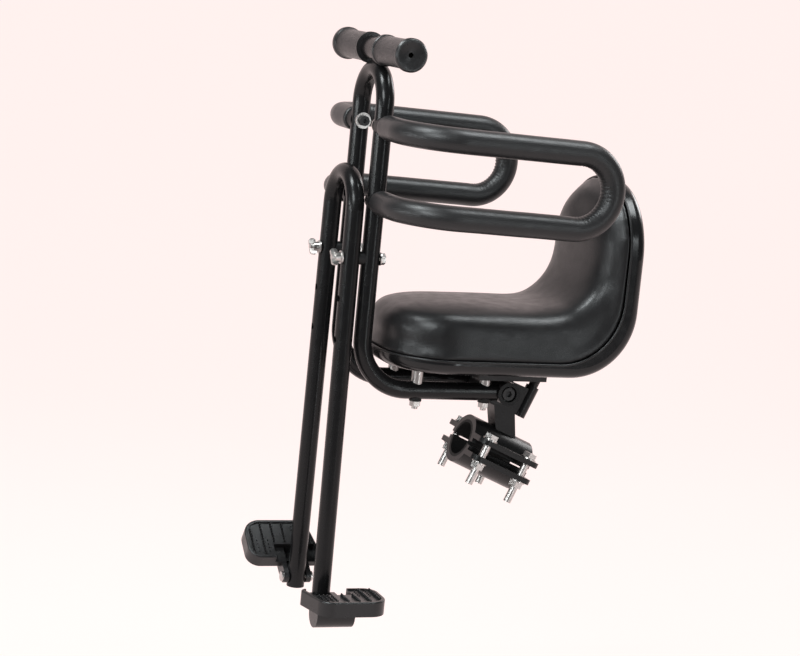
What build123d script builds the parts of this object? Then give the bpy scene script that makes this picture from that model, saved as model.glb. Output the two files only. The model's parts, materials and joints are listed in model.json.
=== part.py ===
from build123d import *
import math
import os

os.makedirs("parts", exist_ok=True)

# Frame: X forward, Y to the left, Z up, in millimetres; the origin is the middle of the clamp bore

# Main frame tube
tube_od = 18.0
tube_wall = 1.6
leg_x = 162.5
leg_y = 33.25
arch_z = 347.5
bend_r = 50.0
run_z = 69.5

# T-handle and grips
handle_od = 22.0
handle_wall = 1.6
handle_len = 177.0
handle_sink = 0.5
grip_inner_y = 20.5
grip_wall = 3.2
grip_end_wall = 4.5
grip_end_hole = 5.0
grip_dish_r = 13.2
grip_dish = 2.6
grip_rim_r = 16.2
grip_rim_w = 5.0
grip_rim_slope = 4.0
grip_rim_round = 1.5
grip_collar_r = 15.4
grip_collar_w = 4.0
grip_collar_slope = 2.0
grip_fit = 0.05

# Armrest loops
arm_below_arch = 19.5
arm_spread = 73.0
arm_y = 129.5
arm_elbow_r = 50.0
arm_run = 117.5
arm_droop = 1.8
arm_od = 16.0
arm_wall = 1.5
pad_od = 24.5
pad_fit = 0.05
collar_od = 20.0
collar_len = 4.5
plug_len = 22.0
plug_fit = 0.05
arm_bolt_d = 6.0
arm_bolt_reach = 16.0
arm_washer_od = 16.0
arm_head_d = 10.0
arm_head_h = 4.0
arm_socket_af = 4.0

# Footrest frame
foot_gap = 2.8
foot_arch_z = 245.5
foot_splay = 0.9
foot_end_z = -153.0
foot_bolt_z = 199.0
foot_bolt_d = 6.0
foot_hole_pitch = 40.5
foot_bolt_tip = 9.0
foot_spacer_od = 13.0
cap_flange = 2.0
cap_plug = 4.0
cap_fit = 0.05
wing_hub_d = 10.0
wing_hub_h = 6.0
wing_span = 17.0
wing_t = 2.6
wing_h = 7.0
wing_round = 2.5
wing_turn = 35.0

# Pedals, sizes from the hinge pin through the leg
pedal_gap = 4.0
hinge_z = -143.0
ear_gap = 0.3
ear_t = 5.0
ear_r = 6.5
pin_d = 6.0
pin_run = 0.05
pin_head_d = 10.0
pin_head_t = 2.0
pin_head_gap = 0.2
cut_over = 1.0
rest_bar_top = -4.0
rest_bar_low = -8.5
rest_bar_gap = 0.4
plate_top = 15.0
plate_t = 15.0
plate_front = 28.5
plate_front_skew = 11.0
plate_rear = 50.0
plate_width = 49.0
plate_corner_front = 15.0
plate_corner_rear = 18.0
plate_corner_inner_front = 6.0
plate_corner_inner_rear = 14.0
plate_rim = 3.5
plate_dish = 1.6
plate_edge_r = 1.5
notch_half = 21.5
notch_depth = 18.0
notch_drop = 8.0
boss_r = 13.0
boss_drop = 18.0
boss_out = 33.5
boss_front = 18.0
boss_rear = 21.0
right_pedal_angle = 36.0

# Seat shell and cushion
seat_half = 80.0
seat_front_x = 138.0
seam_z = 107.0
seam_back_x = -96.0
seam_r = 65.0
shell_depth = 14.0
shell_back_depth = 18.0
shell_corner_r = 68.0
shell_wall = 3.5
shell_edge_r = 11.0
back_top_z = 290.0
front_flat_half = 18.0
top_flat_half = 6.0
cushion_seat_t = 46.0
cushion_back_t = 20.0
cushion_inner_r = 52.0
cushion_edge_r = 17.0
cushion_inset = 1.0

# Seat fixing
seat_bolt_front_x = 101.0
seat_bolt_rear_x = 27.0
seat_bolt_d = 6.0
seat_bolt_tip = 3.0
seat_head_d = 14.0
seat_head_h = 3.0
spacer_od = 12.0
saddle_od = 12.5
saddle_h = 1.8
bracket_front_x = 38.0
bracket_rear_x = -36.0
bracket_half = 42.0
bracket_t = 2.5
bracket_wall_h = 10.5
stop_pad_x = -50.0
stop_pad_d = 22.0
stop_pad_t = 3.0
stop_pad_round = 1.0

# Tilt pivot
pivot_x = 5.0
eye_od = 24.0
eye_in_y = 21.0
eye_out_y = 45.25
eye_weld = 3.0
pivot_d = 8.0
pivot_run = 0.05
recess_d = 16.5
recess_depth = 6.5
pivot_head_d = 13.0
pivot_head_h = 5.5
pivot_socket_af = 6.0
pivot_nut_af = 13.0
pivot_nut_h = 5.5
pivot_washer_od = 30.0
pivot_washer_t = 1.6
pivot_side_gap = 0.1

# Top tube clamp, sizes along the bore, across it and up from it
bore_slope = 23.0
bore_r = 17.5
clamp_len = 72.0
liner_t = 3.0
liner_fit = 0.05
saddle_wall = 5.5
split_gap = 4.0
liner_gap = 1.5
flange_half = 47.5
flange_top = 12.0
flange_t = 5.5
flange_corner_r = 9.0
clamp_bolt_along = 24.0
clamp_bolt_across = 38.25
clamp_bolt_d = 8.0
clamp_bolt_tip = 17.0
clamp_nut_af = 13.0
clamp_nut_h = 6.0
clamp_head_h = 5.0
clamp_washer_od = 16.0
clamp_washer_t = 1.5
lug_r = 17.0
neck_half = 10.0
neck_front_x = -2.0
neck_front_z = 16.0
neck_rear_x = -24.0
neck_rear_z = 10.0
neck_front_in = 14.0
neck_rear_out = 4.0
sleeve_along = -10.5
sleeve_od = 14.0
sleeve_low = 46.0
sleeve_top = 80.0
sleeve_web_t = 10.0
sleeve_web_in = 4.0
stop_d = 10.0
stop_ball_r = 6.5
stop_gap = 0.3

# Fastener details
hole_extra = 0.4
nut_af = 10.0
nut_h = 5.0
hex_head_h = 4.0
washer_t = 1.5
washer_od = 13.0

# Values worked out from the sizes above
tube_r = tube_od / 2
tube_in_r = tube_r - tube_wall
arch_top_z = arch_z + leg_y
arm_upper_z = arch_z - arm_below_arch
foot_x = leg_x + tube_od + foot_gap
arm_lower_z = arm_upper_z - arm_spread
handle_r = handle_od / 2
handle_z = arch_top_z + tube_r + handle_r - handle_sink
grip_r = handle_r + grip_wall
grip_outer_y = handle_len / 2 + grip_end_wall + grip_fit
droop = math.radians(arm_droop)
arm_turn_r = arm_spread * math.cos(droop) / 2
arm_mid_z = (arm_upper_z + arm_lower_z) / 2
collar_end_y = leg_y + tube_r + collar_len
splay = math.radians(foot_splay)
foot_top_y = leg_y * math.cos(splay)
foot_top_z = foot_arch_z + leg_y * math.sin(splay)


def foot_y(z):
    return foot_top_y + (foot_top_z - z) * math.tan(splay)


foot_bolt_y = (leg_y + foot_y(foot_bolt_z)) / 2
hinge_y = foot_y(hinge_z)
plate_inner = tube_r + pedal_gap
plate_outer = plate_inner + plate_width
plate_low = plate_top - plate_t
ear_in = tube_r + ear_gap
ear_out = ear_in + ear_t
lug_half = eye_in_y - pivot_washer_t - pivot_side_gap
front_corner_r = seat_half - front_flat_half
top_corner_r = seat_half - top_flat_half
shell_floor_z = seam_z - shell_depth
pan_top_z = shell_floor_z + shell_wall
run_bottom_z = run_z - tube_r
slope = math.radians(bore_slope)
clamp_plane = Plane(
    origin=(0, 0, 0),
    x_dir=(math.cos(slope), 0, math.sin(slope)),
    z_dir=(-math.sin(slope), 0, math.cos(slope)),
)
shell_in_r = bore_r + liner_t + liner_fit
shell_out_r = shell_in_r + saddle_wall


def at_clamp(along, across, up):
    return clamp_plane.location * Location((along, across, up))


def arm_path(side):
    # loop of one armrest, from the upper leg hole round to the lower one
    front_y = arm_y - arm_elbow_r
    c45 = arm_elbow_r * math.cos(math.pi / 4)
    even = arm_spread * math.sin(droop)

    def along(z, reach, y):
        return (leg_x - reach * math.cos(droop), side * y, z - reach * math.sin(droop))

    a, b = [
        [
            (leg_x, side * collar_end_y, z),
            (leg_x, side * front_y, z),
            along(z, arm_elbow_r - c45, front_y + c45),
            along(z, arm_elbow_r, arm_y),
            along(z, arm_elbow_r + arm_run + extra, arm_y),
        ]
        for z, extra in ((arm_upper_z, even), (arm_lower_z, 0.0))
    ]
    turn = along(arm_mid_z, arm_elbow_r + arm_run + even / 2 + arm_turn_r, arm_y)
    Line(a[0], a[1])
    ThreePointArc(a[1], a[2], a[3])
    Line(a[3], a[4])
    ThreePointArc(a[4], turn, b[4])
    Line(b[4], b[3])
    ThreePointArc(b[3], b[2], b[1])
    Line(b[1], b[0])


def ring(path, outer, inner):
    # tube section at the start of a path
    with BuildSketch(Plane(origin=path.line @ 0, z_dir=path.line % 0)) as section:
        Circle(outer)
        Circle(inner, mode=Mode.SUBTRACT)
    return section.sketch


def seat_band(low, low_back, outer_r, seat_t, back_t, inner_r, half, front_x, top_z, corner_f, corner_t):
    # L-shaped band from a line outside the seam to a line inside it
    z0 = seam_z - low
    x0 = seam_back_x - low_back
    z1 = seam_z + seat_t
    x1 = seam_back_x + back_t
    c45 = math.cos(math.pi / 4)
    ox, oz = x0 + outer_r, z0 + outer_r
    ix, iz = x1 + inner_r, z1 + inner_r
    with BuildPart() as band:
        with BuildSketch(Plane.XZ):
            with BuildLine():
                Line((front_x, z0), (ox, z0))
                ThreePointArc((ox, z0), (ox - outer_r * c45, oz - outer_r * c45), (x0, oz))
                Line((x0, oz), (x0, top_z))
                Line((x0, top_z), (x1, top_z))
                Line((x1, top_z), (x1, iz))
                ThreePointArc((x1, iz), (ix - inner_r * c45, iz - inner_r * c45), (ix, z1))
                Line((ix, z1), (front_x, z1))
                Line((front_x, z1), (front_x, z0))
            make_face()
        extrude(amount=half, both=True)
        fillet(band.edges().filter_by(Axis.Z).group_by(Axis.X)[-1], corner_f)
        fillet(band.edges().filter_by(Axis.X).group_by(Axis.Z)[-1], corner_t)
    return band.part


def rim_edges(shape, faces):
    # edges round a chain of faces, without the ones shared inside the chain
    seen = {}
    for face in faces:
        for edge in face.edges():
            key = tuple(round(v, 3) for v in (edge @ 0.5))
            seen.setdefault(key, []).append(edge)
    keys = [k for k, v in seen.items() if len(v) == 1]
    return [e for e in shape.edges() if tuple(round(v, 3) for v in (e @ 0.5)) in keys]


def hexagon(places, across_flats):
    # hexagons at the given places, to extrude into heads, nuts and sockets
    with BuildSketch(*[Plane(place) for place in places]) as shape:
        RegularPolygon(across_flats / 2, 6, major_radius=False)
    return shape.sketch


# Main frame: bent tube, cross tube, pivot eyes
with BuildPart() as main_frame:
    with BuildLine() as frame_path:
        rear_x = pivot_x + eye_od / 2 - eye_weld
        bx = leg_x - bend_r
        bz = run_z + bend_r
        b45 = bend_r * math.cos(math.pi / 4)
        Line((rear_x, leg_y, run_z), (bx, leg_y, run_z))
        ThreePointArc((bx, leg_y, run_z), (bx + b45, leg_y, bz - b45), (leg_x, leg_y, bz))
        Line((leg_x, leg_y, bz), (leg_x, leg_y, arch_z))
        ThreePointArc((leg_x, leg_y, arch_z), (leg_x, 0, arch_top_z), (leg_x, -leg_y, arch_z))
        Line((leg_x, -leg_y, arch_z), (leg_x, -leg_y, bz))
        ThreePointArc((leg_x, -leg_y, bz), (bx + b45, -leg_y, bz - b45), (bx, -leg_y, run_z))
        Line((bx, -leg_y, run_z), (rear_x, -leg_y, run_z))
    sweep(ring(frame_path, tube_r, tube_in_r), path=frame_path.line)
    with Locations((leg_x, 0, handle_z)):
        Cylinder(handle_r, handle_len, rotation=(90, 0, 0))
        Cylinder(handle_r - handle_wall, handle_len, rotation=(90, 0, 0), mode=Mode.SUBTRACT)
    eye_mid = (eye_in_y + eye_out_y) / 2
    eye_len = eye_out_y - eye_in_y
    with Locations((pivot_x, eye_mid, run_z), (pivot_x, -eye_mid, run_z)):
        Cylinder(eye_od / 2, eye_len, rotation=(90, 0, 0))
        Cylinder(pivot_d / 2 + pivot_run, eye_len, rotation=(90, 0, 0), mode=Mode.SUBTRACT)
    recess_mid = eye_out_y - recess_depth / 2
    with Locations((pivot_x, recess_mid, run_z), (pivot_x, -recess_mid, run_z)):
        Cylinder(recess_d / 2, recess_depth, rotation=(90, 0, 0), mode=Mode.SUBTRACT)
    with Locations((leg_x, 0, arm_upper_z), (leg_x, 0, arm_lower_z)):
        Cylinder((arm_bolt_d + hole_extra) / 2, 3 * leg_y, rotation=(90, 0, 0), mode=Mode.SUBTRACT)
    with Locations((leg_x, foot_bolt_y, foot_bolt_z), (leg_x, -foot_bolt_y, foot_bolt_z)):
        Cylinder((foot_bolt_d + hole_extra) / 2, tube_od, rotation=(0, 90, 0), mode=Mode.SUBTRACT)
    with Locations(*[(x, y, run_z) for x in (seat_bolt_front_x, seat_bolt_rear_x) for y in (leg_y, -leg_y)]):
        Cylinder((seat_bolt_d + hole_extra) / 2, tube_od, mode=Mode.SUBTRACT)
main_frame.part.label = "main_frame"
export_step(main_frame.part, "parts/main_frame.step")

# Grips: a sleeve with a flared outer rim, an inner collar and a dished end with a small hole
for side, name in ((1, "left_grip"), (-1, "right_grip")):
    with BuildPart() as grip:
        with BuildSketch(Plane.YZ.offset(leg_x)) as grip_profile:
            with BuildLine():
                y0, y1 = side * grip_inner_y, side * grip_outer_y
                Polyline(
                    (y0, handle_z + handle_r + grip_fit),
                    (y0, handle_z + grip_collar_r),
                    (y0 + side * grip_collar_w, handle_z + grip_collar_r),
                    (y0 + side * (grip_collar_w + grip_collar_slope), handle_z + grip_r),
                    (y1 - side * (grip_rim_w + grip_rim_slope), handle_z + grip_r),
                    (y1 - side * grip_rim_w, handle_z + grip_rim_r),
                    (y1 - side * grip_rim_round, handle_z + grip_rim_r),
                    (y1, handle_z + grip_rim_r - grip_rim_round),
                    (y1, handle_z + grip_dish_r),
                    (y1 - side * grip_dish, handle_z + grip_end_hole / 2),
                    (y1 - side * grip_end_wall, handle_z + grip_end_hole / 2),
                    (y1 - side * grip_end_wall, handle_z + handle_r + grip_fit),
                    close=True,
                )
            make_face()
        revolve(axis=Axis((leg_x, 0, handle_z), (0, 1, 0)))
    grip.part.label = name
    export_step(grip.part, f"parts/{name}.step")

# Armrest loops and their padded sleeves
for side, name in ((1, "left"), (-1, "right")):
    with BuildPart() as arm_tube:
        with BuildLine() as tube_path:
            arm_path(side)
        sweep(ring(tube_path, arm_od / 2, arm_od / 2 - arm_wall), path=tube_path.line)
    arm_tube.part.label = f"{name}_armrest_tube"
    export_step(arm_tube.part, f"parts/{name}_armrest_tube.step")
    with BuildPart() as arm_pad:
        with BuildLine() as pad_path:
            arm_path(side)
        sweep(ring(pad_path, pad_od / 2, arm_od / 2 + pad_fit), path=pad_path.line)
    arm_pad.part.label = f"{name}_armrest_pad"
    export_step(arm_pad.part, f"parts/{name}_armrest_pad.step")

arm_spots = [(s, z) for s in (1, -1) for z in (arm_upper_z, arm_lower_z)]
arm_washer_y = leg_y - tube_r - washer_t
arm_bolt_end = collar_end_y + arm_bolt_reach

with BuildPart() as armrest_collars:
    for s, z in arm_spots:
        with Locations((leg_x, s * (leg_y + collar_end_y) / 2, z)):
            Cylinder(collar_od / 2, collar_end_y - leg_y, rotation=(90, 0, 0))
            Cylinder((arm_bolt_d + hole_extra) / 2, collar_len * 6, rotation=(90, 0, 0), mode=Mode.SUBTRACT)
    with Locations((leg_x, leg_y, arm_mid_z), (leg_x, -leg_y, arm_mid_z)):
        Cylinder(tube_r, arm_spread + 2 * collar_od, mode=Mode.SUBTRACT)
armrest_collars.part.label = "armrest_collars"
export_step(armrest_collars.part, "parts/armrest_collars.step")

with BuildPart() as armrest_plugs:
    with Locations(*[(leg_x, s * (collar_end_y + plug_len / 2), z) for s, z in arm_spots]):
        Cylinder(arm_od / 2 - arm_wall - plug_fit, plug_len, rotation=(90, 0, 0))
        Cylinder(arm_bolt_d / 2, plug_len, rotation=(90, 0, 0), mode=Mode.SUBTRACT)
armrest_plugs.part.label = "armrest_plugs"
export_step(armrest_plugs.part, "parts/armrest_plugs.step")

with BuildPart() as armrest_washers:
    with Locations(*[(leg_x, s * (arm_washer_y + washer_t / 2), z) for s, z in arm_spots]):
        Cylinder(arm_washer_od / 2, washer_t, rotation=(90, 0, 0))
        Cylinder((arm_bolt_d + hole_extra) / 2, washer_t, rotation=(90, 0, 0), mode=Mode.SUBTRACT)
armrest_washers.part.label = "armrest_washers"
export_step(armrest_washers.part, "parts/armrest_washers.step")

with BuildPart() as armrest_bolts:
    for s, z in arm_spots:
        shank = arm_bolt_end - arm_washer_y
        with Locations((leg_x, s * (arm_washer_y + shank / 2), z)):
            Cylinder(arm_bolt_d / 2, shank, rotation=(90, 0, 0))
        with Locations((leg_x, s * (arm_washer_y - arm_head_h / 2), z)):
            Cylinder(arm_head_d / 2, arm_head_h, rotation=(90, 0, 0))
        socket = Location((leg_x, s * (arm_washer_y - arm_head_h), z), (-90 * s, 0, 0))
        extrude(hexagon([socket], arm_socket_af), amount=arm_head_h * 0.6, mode=Mode.SUBTRACT)
armrest_bolts.part.label = "armrest_bolts"
export_step(armrest_bolts.part, "parts/armrest_bolts.step")

# Footrest frame: splayed inverted U with height holes and pedal pin holes
with BuildPart() as footrest_frame:
    with BuildLine() as foot_path:
        y_end = foot_y(foot_end_z + cap_flange)
        z_end = foot_end_z + cap_flange
        Line((foot_x, y_end, z_end), (foot_x, foot_top_y, foot_top_z))
        ThreePointArc(
            (foot_x, foot_top_y, foot_top_z),
            (foot_x, 0, foot_arch_z + leg_y),
            (foot_x, -foot_top_y, foot_top_z),
        )
        Line((foot_x, -foot_top_y, foot_top_z), (foot_x, -y_end, z_end))
    sweep(ring(foot_path, tube_r, tube_in_r), path=foot_path.line)
    for s in (1, -1):
        with Locations((foot_x, s * hinge_y, hinge_z)):
            Cylinder(pin_d / 2, tube_od, rotation=(0, 90, 0), mode=Mode.SUBTRACT)
        for k in range(3):
            hole_z = foot_bolt_z - k * foot_hole_pitch
            hole_y = foot_bolt_y if k == 0 else foot_y(hole_z)
            with Locations((foot_x, s * hole_y, hole_z)):
                Cylinder((foot_bolt_d + hole_extra) / 2, tube_od, rotation=(0, 90, 0), mode=Mode.SUBTRACT)
footrest_frame.part.label = "footrest_frame"
export_step(footrest_frame.part, "parts/footrest_frame.step")

with BuildPart() as leg_caps:
    for s in (1, -1):
        with Locations(Location((foot_x, s * foot_y(foot_end_z), foot_end_z), (s * foot_splay, 0, 0))):
            Cylinder(tube_r, cap_flange, align=(Align.CENTER, Align.CENTER, Align.MIN))
            cap_stand = (Align.CENTER, Align.CENTER, Align.MIN)
            Cylinder(tube_in_r - cap_fit, cap_flange + cap_plug, align=cap_stand)
leg_caps.part.label = "leg_caps"
export_step(leg_caps.part, "parts/leg_caps.step")

# Bolts, spacers and wing nuts that join the two frames
head_x = leg_x - tube_r - washer_t
wing_x = foot_x + tube_r + washer_t
with BuildPart() as footrest_spacers:
    for s in (1, -1):
        with Locations(((leg_x + foot_x) / 2, s * foot_bolt_y, foot_bolt_z)):
            Cylinder(foot_spacer_od / 2, foot_x - leg_x, rotation=(0, 90, 0))
            Cylinder((foot_bolt_d + hole_extra) / 2, foot_x - leg_x, rotation=(0, 90, 0), mode=Mode.SUBTRACT)
        with Locations((leg_x, s * leg_y, foot_bolt_z)):
            Cylinder(tube_r, 3 * foot_spacer_od, mode=Mode.SUBTRACT)
        with Locations(Location((foot_x, s * foot_y(foot_bolt_z), foot_bolt_z), (s * foot_splay, 0, 0))):
            Cylinder(tube_r, 3 * foot_spacer_od, mode=Mode.SUBTRACT)
footrest_spacers.part.label = "footrest_spacers"
export_step(footrest_spacers.part, "parts/footrest_spacers.step")

with BuildPart() as footrest_washers:
    with Locations(*[(x, s * foot_bolt_y, foot_bolt_z) for s in (1, -1)
                     for x in (head_x + washer_t / 2, wing_x - washer_t / 2)]):
        Cylinder(washer_od / 2, washer_t, rotation=(0, 90, 0))
        Cylinder((foot_bolt_d + hole_extra) / 2, washer_t, rotation=(0, 90, 0), mode=Mode.SUBTRACT)
footrest_washers.part.label = "footrest_washers"
export_step(footrest_washers.part, "parts/footrest_washers.step")

with BuildPart() as footrest_bolts:
    for s in (1, -1):
        length = wing_x + foot_bolt_tip - head_x
        with Locations((head_x + length / 2, s * foot_bolt_y, foot_bolt_z)):
            Cylinder(foot_bolt_d / 2, length, rotation=(0, 90, 0))
        head = Location((head_x, s * foot_bolt_y, foot_bolt_z), (0, -90, 0))
        extrude(hexagon([head], nut_af), amount=hex_head_h)
footrest_bolts.part.label = "footrest_bolts"
export_step(footrest_bolts.part, "parts/footrest_bolts.step")

with BuildPart() as wing_nuts:
    for s in (1, -1):
        with Locations((wing_x + wing_hub_h / 2, s * foot_bolt_y, foot_bolt_z)):
            Cylinder(wing_hub_d / 2, wing_hub_h, rotation=(0, 90, 0))
        with Locations(Location((wing_x + wing_hub_h, s * foot_bolt_y, foot_bolt_z), (wing_turn, 0, 0))):
            Box(wing_h, wing_t, wing_span)
        with Locations((wing_x + wing_hub_h, s * foot_bolt_y, foot_bolt_z)):
            Cylinder(foot_bolt_d / 2, 2 * wing_hub_h + wing_h, rotation=(0, 90, 0), mode=Mode.SUBTRACT)
    wing_axis = Axis((0, 0, 0), (0, math.cos(math.radians(wing_turn)), math.sin(math.radians(wing_turn))))
    fillet(wing_nuts.edges().filter_by(wing_axis), wing_round)
wing_nuts.part.label = "wing_nuts"
export_step(wing_nuts.part, "parts/wing_nuts.step")

# Pedals: D-shaped plates with a dished top, a notch for the leg, a boss below and ears on the leg pin
with BuildPart() as pedal_pins:
    pin_half = ear_out + pin_head_gap
    with Locations((foot_x, hinge_y, hinge_z), (foot_x, -hinge_y, hinge_z)):
        Cylinder(pin_d / 2, 2 * pin_half, rotation=(0, 90, 0))
    head_mid = pin_half + pin_head_t / 2
    with Locations(*[(foot_x + k * head_mid, s * hinge_y, hinge_z) for k in (1, -1) for s in (1, -1)]):
        Cylinder(pin_head_d / 2, pin_head_t, rotation=(0, 90, 0))
pedal_pins.part.label = "pedal_pins"
export_step(pedal_pins.part, "parts/pedal_pins.step")

# The right pedal is the left one turned half round, and it is tipped up
for side, name, turn, tip in ((1, "left_pedal", 0, 0.0), (-1, "right_pedal", 180, right_pedal_angle)):
    place = Location((foot_x, side * hinge_y, hinge_z), (0, 0, turn)) * Location((0, 0, 0), (tip, 0, 0))
    base = Plane(place)
    with BuildPart() as pedal:
        with BuildSketch(base.offset(plate_low)) as outline:
            with BuildLine():
                Polyline(
                    (plate_front, plate_inner),
                    (plate_front - plate_front_skew, plate_outer),
                    (-plate_rear, plate_outer),
                    (-plate_rear, plate_inner),
                    close=True,
                )
            make_face()
            corners = outline.vertices()
            fillet(corners.filter_by(lambda v: v.X > 0 and v.Y > plate_outer - cut_over), plate_corner_front)
            corners = outline.vertices()
            fillet(corners.filter_by(lambda v: v.X < 0 and v.Y > plate_outer - cut_over), plate_corner_rear)
            inner = outline.vertices().filter_by(lambda v: v.Y < plate_inner + cut_over)
            fillet(inner.filter_by(lambda v: v.X > 0), plate_corner_inner_front)
            inner = outline.vertices().filter_by(lambda v: v.Y < plate_inner + cut_over)
            fillet(inner.filter_by(lambda v: v.X < -notch_half), plate_corner_inner_rear)
        extrude(amount=plate_t)
        top = pedal.faces().sort_by(Axis(base.origin, base.z_dir))[-1]
        fillet(top.edges(), plate_edge_r)
        with BuildSketch(base.offset(plate_top)):
            add(outline.sketch_local)
            offset(amount=-plate_rim, mode=Mode.REPLACE)
        extrude(amount=-plate_dish, mode=Mode.SUBTRACT)
        notch_mid = plate_inner + notch_depth / 2 - cut_over
        with Locations(place * Location((0, notch_mid, plate_top - notch_drop / 2))):
            Box(2 * notch_half, notch_depth + 2 * cut_over, notch_drop, mode=Mode.SUBTRACT)
        with BuildSketch(Plane(place * Location((-boss_rear, 0, 0), (0, 90, 0)))):
            with Locations((boss_drop - boss_r - plate_low, boss_out)):
                Circle(boss_r)
            with Locations(((boss_drop - boss_r) / 2 - plate_low, boss_out)):
                Rectangle(boss_drop - boss_r + 2 * cut_over, 2 * boss_r)
        extrude(amount=boss_front + boss_rear)
        with Locations(place * Location((0, notch_mid, (plate_top + plate_low) / 2))):
            Box(2 * ear_in, notch_depth + 2 * cut_over, plate_t + 2 * cut_over, mode=Mode.SUBTRACT)
        ear_len = plate_inner + notch_depth + cut_over
        for k in (1, -1):
            ear_mid = k * (ear_in + ear_out) / 2
            with Locations(place * Location((ear_mid, ear_len / 2, 0))):
                Box(ear_t, ear_len, 2 * ear_r)
            with Locations(place * Location((ear_mid, 0, 0), (0, 90, 0))):
                Cylinder(ear_r, ear_t)
        bar_in = tube_r + rest_bar_gap
        with Locations(place * Location((0, (bar_in + boss_out) / 2, (rest_bar_top + rest_bar_low) / 2))):
            Box(2 * ear_out, boss_out - bar_in, rest_bar_top - rest_bar_low)
        with Locations(place * Location((0, 0, 0), (0, 90, 0))):
            Cylinder(pin_d / 2 + pin_run, 2 * ear_out, mode=Mode.SUBTRACT)
    pedal.part.label = name
    export_step(pedal.part, f"parts/{name}.step")

# Seat shell: a tray that follows the L-shaped seam line, bolted down through its floor
shell_outer = seat_band(
    shell_depth, shell_back_depth, shell_corner_r, 0.0, 0.0, seam_r,
    seat_half, seat_front_x, back_top_z, front_corner_r, top_corner_r,
)
shell_cavity = seat_band(
    shell_depth - shell_wall, shell_back_depth - shell_wall, shell_corner_r - shell_wall, 1.0, 1.0, seam_r,
    seat_half - shell_wall, seat_front_x - shell_wall, back_top_z - shell_wall,
    front_corner_r - shell_wall, top_corner_r - shell_wall,
)
bolt_xy = [(x, y) for x in (seat_bolt_front_x, seat_bolt_rear_x) for y in (leg_y, -leg_y)]
with BuildPart() as seat_shell:
    add(shell_outer)
    low_face = seat_shell.faces().filter_by(Axis.Z).sort_by(Axis.Z)[0]
    rear_face = seat_shell.faces().filter_by(Axis.X).sort_by(Axis.X)[0]
    bends = seat_shell.faces().filter_by(GeomType.CYLINDER)
    arc_face = bends.filter_by(lambda f: abs(f.radius - shell_corner_r) < 0.01)[0]
    fillet(rim_edges(seat_shell.part, [low_face, arc_face, rear_face]), shell_edge_r)
    add(shell_cavity, mode=Mode.SUBTRACT)
    with Locations(*[(x, y, shell_floor_z + shell_wall / 2) for x, y in bolt_xy]):
        Cylinder((seat_bolt_d + hole_extra) / 2, shell_wall + 1, mode=Mode.SUBTRACT)
seat_shell.part.label = "seat_shell"
export_step(seat_shell.part, "parts/seat_shell.step")

# Cushion: one L-shaped pad on the shell rim
cushion_band = seat_band(
    0.0, 0.0, seam_r, cushion_seat_t, cushion_back_t, cushion_inner_r, seat_half - cushion_inset,
    seat_front_x - cushion_inset, back_top_z - cushion_inset, front_corner_r, top_corner_r,
)
with BuildPart() as seat_cushion:
    add(cushion_band)
    seat_face = [f for f in seat_cushion.faces().filter_by(Axis.Z)
                 if abs(f.center().Z - (seam_z + cushion_seat_t)) < 0.01][0]
    back_face = [f for f in seat_cushion.faces().filter_by(Axis.X)
                 if abs(f.center().X - (seam_back_x + cushion_back_t)) < 0.01][0]
    bend_face = [f for f in seat_cushion.faces().filter_by(GeomType.CYLINDER)
                 if abs(f.radius - cushion_inner_r) < 0.01][0]
    fillet(rim_edges(seat_cushion.part, [seat_face, bend_face, back_face]), cushion_edge_r)
seat_cushion.part.label = "seat_cushion"
export_step(seat_cushion.part, "parts/seat_cushion.step")

# Channel bracket, spacers, saddles, bolts and nuts that hold the shell on the lower runs
with BuildPart() as seat_bracket:
    length = bracket_front_x - bracket_rear_x
    mid_x = (bracket_front_x + bracket_rear_x) / 2
    with Locations((mid_x, 0, shell_floor_z - bracket_t / 2)):
        Box(length, 2 * bracket_half, bracket_t)
    wall_y = bracket_half - bracket_t / 2
    with Locations((mid_x, wall_y, shell_floor_z - bracket_wall_h / 2),
                   (mid_x, -wall_y, shell_floor_z - bracket_wall_h / 2)):
        Box(length, bracket_t, bracket_wall_h)
    with Locations(*[(seat_bolt_rear_x, y, shell_floor_z - bracket_t / 2) for y in (leg_y, -leg_y)]):
        Cylinder((seat_bolt_d + hole_extra) / 2, bracket_t, mode=Mode.SUBTRACT)
seat_bracket.part.label = "seat_bracket"
export_step(seat_bracket.part, "parts/seat_bracket.step")

with BuildPart() as seat_spacers:
    for x, y in bolt_xy:
        top_z = shell_floor_z if x == seat_bolt_front_x else shell_floor_z - bracket_t
        with Locations((x, y, (run_z + top_z) / 2)):
            Cylinder(spacer_od / 2, top_z - run_z)
            Cylinder((seat_bolt_d + hole_extra) / 2, top_z - run_z, mode=Mode.SUBTRACT)
        with Locations((x, y, run_z)):
            Cylinder(tube_r, 2 * spacer_od, rotation=(0, 90, 0), mode=Mode.SUBTRACT)
seat_spacers.part.label = "seat_spacers"
export_step(seat_spacers.part, "parts/seat_spacers.step")

saddle_low_z = run_bottom_z - saddle_h
with BuildPart() as seat_saddles:
    for x, y in bolt_xy:
        with Locations((x, y, (run_z + saddle_low_z) / 2)):
            Cylinder(saddle_od / 2, run_z - saddle_low_z)
            Cylinder((seat_bolt_d + hole_extra) / 2, run_z - saddle_low_z, mode=Mode.SUBTRACT)
        with Locations((x, y, run_z)):
            Cylinder(tube_r, 2 * saddle_od, rotation=(0, 90, 0), mode=Mode.SUBTRACT)
        with Locations((x, y, run_z)):
            Box(2 * saddle_od, 2 * tube_od, tube_r, mode=Mode.SUBTRACT)
seat_saddles.part.label = "seat_saddles"
export_step(seat_saddles.part, "parts/seat_saddles.step")

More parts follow.
